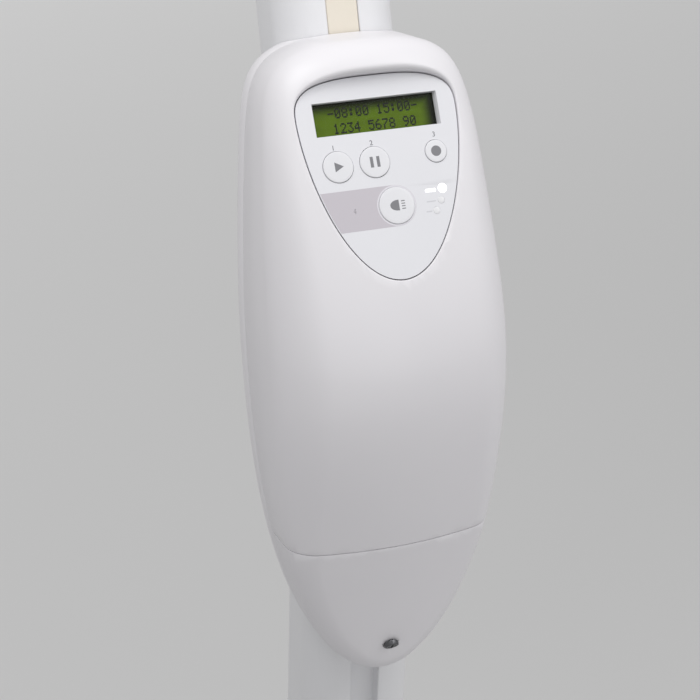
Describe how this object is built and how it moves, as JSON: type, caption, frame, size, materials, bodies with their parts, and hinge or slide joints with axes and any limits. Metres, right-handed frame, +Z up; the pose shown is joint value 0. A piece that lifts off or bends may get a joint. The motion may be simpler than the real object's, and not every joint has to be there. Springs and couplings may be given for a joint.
{
  "type": "teeth whitening lamp",
  "caption": "Mobile teeth whitening lamp: a control console on a bowed mast with a castored star base, and a folding balanced arm that carries a tilting lamp head.",
  "frame": {"origin": "middle of the bounding box's footprint, on the floor that the castors stand on", "axes": "+Z up along the mast, -Y the way the console's control panel faces, +X to the right for someone who faces the panel"},
  "size_m": [0.6484, 0.6168, 1.3987],
  "materials": {
    "housing_white": "satin",
    "enamel_white": "satin",
    "mast_enamel": "satin",
    "trim_cream": "matte",
    "panel_film": "fine matte",
    "key_film": "fine matte",
    "window_clear": "clear",
    "display_olive": "backlit",
    "indicator_white": "clear",
    "indicator_dull": "clear",
    "lens_clear": "clear",
    "aluminium_bare": "machined",
    "steel_zinc": "zinc plated",
    "steel_dark": "blackened",
    "board_green": "solder resist",
    "board_white": "solder resist",
    "black_plastic": "fine texture",
    "grey_plastic": "fine texture",
    "grey_rubber": "matte"
  },
  "bodies": {
    "stand": {"base_star": "enamel_white", "base_cover": "housing_white", "mast_foot": "aluminium_bare", "power_inlet": "black_plastic", "mast": "mast_enamel", "groove_trim": "trim_cream", "mast_head": "enamel_white", "console_front_cover": "housing_white", "console_lower_cap": "housing_white", "console_rear_cover": "housing_white", "cap_screw": "steel_dark", "control_panel": "panel_film", "display_window": "window_clear", "display_module": "display_olive", "indicator_high": "indicator_white", "indicator_mid": "indicator_dull", "indicator_low": "indicator_dull", "key_board": "board_green", "main_board": "board_green", "power_supply": "grey_plastic", "console_bracket": "steel_zinc"},
    "start_key": {"key_start": "key_film"},
    "pause_key": {"key_pause": "key_film"},
    "stop_key": {"key_stop": "key_film"},
    "intensity_key": {"key_intensity": "key_film"},
    "fuse_holder": {"fuse_drawer": "black_plastic"},
    "rocker": {"power_switch": "black_plastic"},
    "castor_1": {"castor_fork_1": "grey_plastic"},
    "castor_2": {"castor_fork_2": "grey_plastic"},
    "castor_3": {"castor_fork_3": "grey_plastic"},
    "castor_4": {"castor_fork_4": "grey_plastic"},
    "castor_5": {"castor_fork_5": "grey_plastic"},
    "wheels_1": {"castor_wheels_1": "grey_rubber"},
    "wheels_2": {"castor_wheels_2": "grey_rubber"},
    "wheels_3": {"castor_wheels_3": "grey_rubber"},
    "wheels_4": {"castor_wheels_4": "grey_rubber"},
    "wheels_5": {"castor_wheels_5": "grey_rubber"},
    "pedal_1": {"castor_pedal_1": "grey_plastic"},
    "pedal_2": {"castor_pedal_2": "grey_plastic"},
    "pedal_3": {"castor_pedal_3": "grey_plastic"},
    "pedal_4": {"castor_pedal_4": "grey_plastic"},
    "pedal_5": {"castor_pedal_5": "grey_plastic"},
    "first_arm": {"extension_arm": "enamel_white"},
    "elbow": {"elbow_bracket": "enamel_white"},
    "second_arm": {"spring_arm": "enamel_white", "balance_spring": "steel_dark"},
    "link": {"parallel_link": "steel_zinc"},
    "level_end": {"end_bracket": "enamel_white"},
    "yoke": {"head_yoke": "enamel_white"},
    "lamp_head": {"head_front_shell": "housing_white", "head_rear_shell": "housing_white", "heat_sink": "aluminium_bare", "light_board": "board_white", "head_lens": "lens_clear", "guide_ring": "grey_plastic", "fan_frame": "black_plastic", "head_handle": "grey_plastic"},
    "fan": {"fan_rotor": "black_plastic"}
  },
  "joints": [
    {"name": "start_key_press", "type": "slide", "parent": "stand", "child": "start_key", "axis": [0, 0.887, -0.4618], "range_m": [0, 0.001], "stiffness_N_per_m": 600, "springref_m": -0.0005},
    {"name": "pause_key_press", "type": "slide", "parent": "stand", "child": "pause_key", "axis": [0, 0.887, -0.4618], "range_m": [0, 0.001], "stiffness_N_per_m": 600, "springref_m": -0.0005},
    {"name": "stop_key_press", "type": "slide", "parent": "stand", "child": "stop_key", "axis": [0, 0.887, -0.4618], "range_m": [0, 0.001], "stiffness_N_per_m": 600, "springref_m": -0.0005},
    {"name": "intensity_key_press", "type": "slide", "parent": "stand", "child": "intensity_key", "axis": [0, 0.887, -0.4618], "range_m": [0, 0.001], "stiffness_N_per_m": 600, "springref_m": -0.0005},
    {"name": "fuse_drawer_pull", "type": "slide", "parent": "stand", "child": "fuse_holder", "axis": [0, 1, 0], "range_m": [0, 0.014]},
    {"name": "rocker_tilt", "type": "hinge", "parent": "stand", "child": "rocker", "pos_m": [0.018, 0.10038, 0.133], "axis": [1, 0, 0], "range_deg": [0, 16]},
    {"name": "castor_1_swivel", "type": "hinge", "parent": "stand", "child": "castor_1", "pos_m": [0, -0.24492, 0.07], "axis": [0, 0, 1], "continuous": true},
    {"name": "castor_2_swivel", "type": "hinge", "parent": "stand", "child": "castor_2", "pos_m": [0.25679, -0.05835, 0.07], "axis": [0, 0, 1], "continuous": true},
    {"name": "castor_3_swivel", "type": "hinge", "parent": "stand", "child": "castor_3", "pos_m": [0.1587, 0.24352, 0.07], "axis": [0, 0, 1], "continuous": true},
    {"name": "castor_4_swivel", "type": "hinge", "parent": "stand", "child": "castor_4", "pos_m": [-0.1587, 0.24352, 0.07], "axis": [0, 0, 1], "continuous": true},
    {"name": "castor_5_swivel", "type": "hinge", "parent": "stand", "child": "castor_5", "pos_m": [-0.25679, -0.05835, 0.07], "axis": [0, 0, 1], "continuous": true},
    {"name": "castor_1_roll", "type": "hinge", "parent": "castor_1", "child": "wheels_1", "pos_m": [0, -0.26492, 0.025], "axis": [1, 0, 0], "continuous": true},
    {"name": "castor_2_roll", "type": "hinge", "parent": "castor_2", "child": "wheels_2", "pos_m": [0.27581, -0.06453, 0.025], "axis": [0.309, 0.9511, 0], "continuous": true},
    {"name": "castor_3_roll", "type": "hinge", "parent": "castor_3", "child": "wheels_3", "pos_m": [0.17046, 0.2597, 0.025], "axis": [-0.809, 0.5878, 0], "continuous": true},
    {"name": "castor_4_roll", "type": "hinge", "parent": "castor_4", "child": "wheels_4", "pos_m": [-0.17046, 0.2597, 0.025], "axis": [-0.809, -0.5878, 0], "continuous": true},
    {"name": "castor_5_roll", "type": "hinge", "parent": "castor_5", "child": "wheels_5", "pos_m": [-0.27581, -0.06453, 0.025], "axis": [0.309, -0.9511, 0], "continuous": true},
    {"name": "castor_1_brake", "type": "hinge", "parent": "castor_1", "child": "pedal_1", "pos_m": [0, -0.29437, 0.03874], "axis": [-1, 0, 0], "range_deg": [0, 25]},
    {"name": "castor_2_brake", "type": "hinge", "parent": "castor_2", "child": "pedal_2", "pos_m": [0.30382, -0.07363, 0.03874], "axis": [-0.309, -0.9511, 0], "range_deg": [0, 25]},
    {"name": "castor_3_brake", "type": "hinge", "parent": "castor_3", "child": "pedal_3", "pos_m": [0.18777, 0.28353, 0.03874], "axis": [0.809, -0.5878, 0], "range_deg": [0, 25]},
    {"name": "castor_4_brake", "type": "hinge", "parent": "castor_4", "child": "pedal_4", "pos_m": [-0.18777, 0.28353, 0.03874], "axis": [0.809, 0.5878, 0], "range_deg": [0, 25]},
    {"name": "castor_5_brake", "type": "hinge", "parent": "castor_5", "child": "pedal_5", "pos_m": [-0.30382, -0.07363, 0.03874], "axis": [-0.309, 0.9511, 0], "range_deg": [0, 25]},
    {"name": "turret_yaw", "type": "hinge", "parent": "stand", "child": "first_arm", "pos_m": [0, 0.01239, 1.27343], "axis": [0, 0, 1], "range_deg": [-170, 170]},
    {"name": "elbow_yaw", "type": "hinge", "parent": "first_arm", "child": "elbow", "pos_m": [-0.17, 0.18239, 1.31773], "axis": [0, 0, 1], "range_deg": [-140, 140]},
    {"name": "arm_pitch", "type": "hinge", "parent": "elbow", "child": "second_arm", "pos_m": [-0.17, 0.18239, 1.37973], "axis": [0, -1, 0], "range_deg": [-25, 28]},
    {"name": "link_pitch", "type": "hinge", "parent": "elbow", "child": "link", "pos_m": [-0.17, 0.18239, 1.34573], "axis": [0, -1, 0], "range_deg": [-25, 28]},
    {"name": "end_level", "type": "hinge", "parent": "second_arm", "child": "level_end", "pos_m": [0.21, 0.18239, 1.37973], "axis": [0, -1, 0], "range_deg": [-28, 25]},
    {"name": "head_yaw", "type": "hinge", "parent": "level_end", "child": "yoke", "pos_m": [0.242, 0.18239, 1.33243], "axis": [0, 0, 1], "range_deg": [-150, 150]},
    {"name": "head_tilt", "type": "hinge", "parent": "yoke", "child": "lamp_head", "pos_m": [0.242, 0.18239, 1.24043], "axis": [1, 0, 0], "range_deg": [-45, 45]},
    {"name": "fan_spin", "type": "hinge", "parent": "lamp_head", "child": "fan", "pos_m": [0.242, 0.20529, 1.24043], "axis": [0, 1, 0], "continuous": true}
  ],
  "couplings": [
    {"joint": "link_pitch", "follows": "arm_pitch", "ratio": 1},
    {"joint": "end_level", "follows": "arm_pitch", "ratio": -1}
  ]
}
